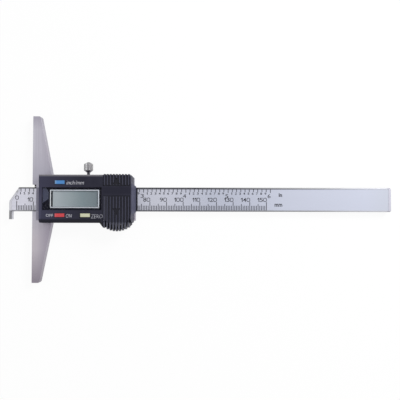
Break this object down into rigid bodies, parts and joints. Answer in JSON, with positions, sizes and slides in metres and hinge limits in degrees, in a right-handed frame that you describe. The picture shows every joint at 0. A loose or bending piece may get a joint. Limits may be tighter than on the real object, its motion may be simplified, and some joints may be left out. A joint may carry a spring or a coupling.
{
  "type": "digital depth gauge",
  "caption": "Digital depth gauge: a hooked steel beam with scales slides through a T-shaped measuring base that carries a display housing with buttons and ribbed covers.",
  "frame": {"origin": "On the measuring face, at the middle of the beam, in the flat back plane that the gauge rests on.", "axes": "+X along the beam, away from the work; +Y along the base bar, towards the thumb screw; +Z out of the display."},
  "size_m": [0.2294, 0.1, 0.0148],
  "materials": {
    "frame_steel": "satin ground",
    "gib_steel": "satin ground",
    "screw_steel": "blackened",
    "knob_steel": "knurled, nickel plated",
    "beam_steel": "bright ground edges",
    "scale_foil": "satin, printed graduations",
    "stop_steel": "satin",
    "case_plastic": "fine texture, dark blue-grey",
    "cover_plastic": "fine texture, dark blue-grey",
    "lens_plastic": "clear, polished",
    "frame_plastic": "silver grey",
    "display_glass": "reflective liquid crystal, switched off",
    "reflector_foil": "matt",
    "contact_rubber": "striped, conductive",
    "board_laminate": "solder mask",
    "chip_resin": "poured resin",
    "part_metal": "tinned",
    "blue_plastic": "light blue",
    "red_plastic": "red",
    "yellow_plastic": "pale yellow",
    "dome_steel": "bright",
    "cell_steel": "bright drawn",
    "spring_brass": "bright",
    "gold_plate": "gold plated",
    "wiper_felt": "black felt"
  },
  "bodies": {
    "slider": {"slider_base": "frame_steel", "gib_strip": "gib_steel", "gib_screws": "screw_steel", "housing": "case_plastic", "window_lens": "lens_plastic", "display_frame": "frame_plastic", "display_glass": "display_glass", "display_reflector": "reflector_foil", "contact_strip": "contact_rubber", "circuit_board": "board_laminate", "controller_chip": "chip_resin", "board_parts": "part_metal", "switch_domes": "dome_steel", "battery": "cell_steel", "battery_clip": "spring_brass", "battery_leaf": "spring_brass", "port_contacts": "gold_plate", "dust_wiper": "wiper_felt", "housing_screws": "screw_steel"},
    "thumb_screw": {"thumb_screw": "knob_steel"},
    "beam": {"beam": "beam_steel", "scale_strip": "scale_foil", "end_stop": "stop_steel", "end_stop_screws": "screw_steel"},
    "button_units": {"button_units": "blue_plastic"},
    "button_power": {"button_power": "red_plastic"},
    "button_zero": {"button_zero": "yellow_plastic"},
    "battery_cover": {"battery_cover": "cover_plastic"},
    "port_cover": {"port_cover": "cover_plastic"}
  },
  "joints": [
    {"name": "beam_slide", "type": "slide", "parent": "slider", "child": "beam", "axis": [-1, 0, 0], "range_m": [-0.0118, 0.142]},
    {"name": "thumb_screw_turn", "type": "hinge", "parent": "slider", "child": "thumb_screw", "pos_m": [0.0331, 0.0132, 0.00355], "axis": [0, 1, 0], "range_deg": [-90, 180]},
    {"name": "units_press", "type": "slide", "parent": "slider", "child": "button_units", "axis": [0, 0, -1], "range_m": [0, 0.0005], "stiffness_N_per_m": 600},
    {"name": "power_press", "type": "slide", "parent": "slider", "child": "button_power", "axis": [0, 0, -1], "range_m": [0, 0.0005], "stiffness_N_per_m": 600},
    {"name": "zero_press", "type": "slide", "parent": "slider", "child": "button_zero", "axis": [0, 0, -1], "range_m": [0, 0.0005], "stiffness_N_per_m": 600},
    {"name": "battery_cover_slide", "type": "slide", "parent": "slider", "child": "battery_cover", "axis": [0, -1, 0], "range_m": [0, 0.014]},
    {"name": "port_cover_slide", "type": "slide", "parent": "slider", "child": "port_cover", "axis": [0, 1, 0], "range_m": [0, 0.006]}
  ]
}
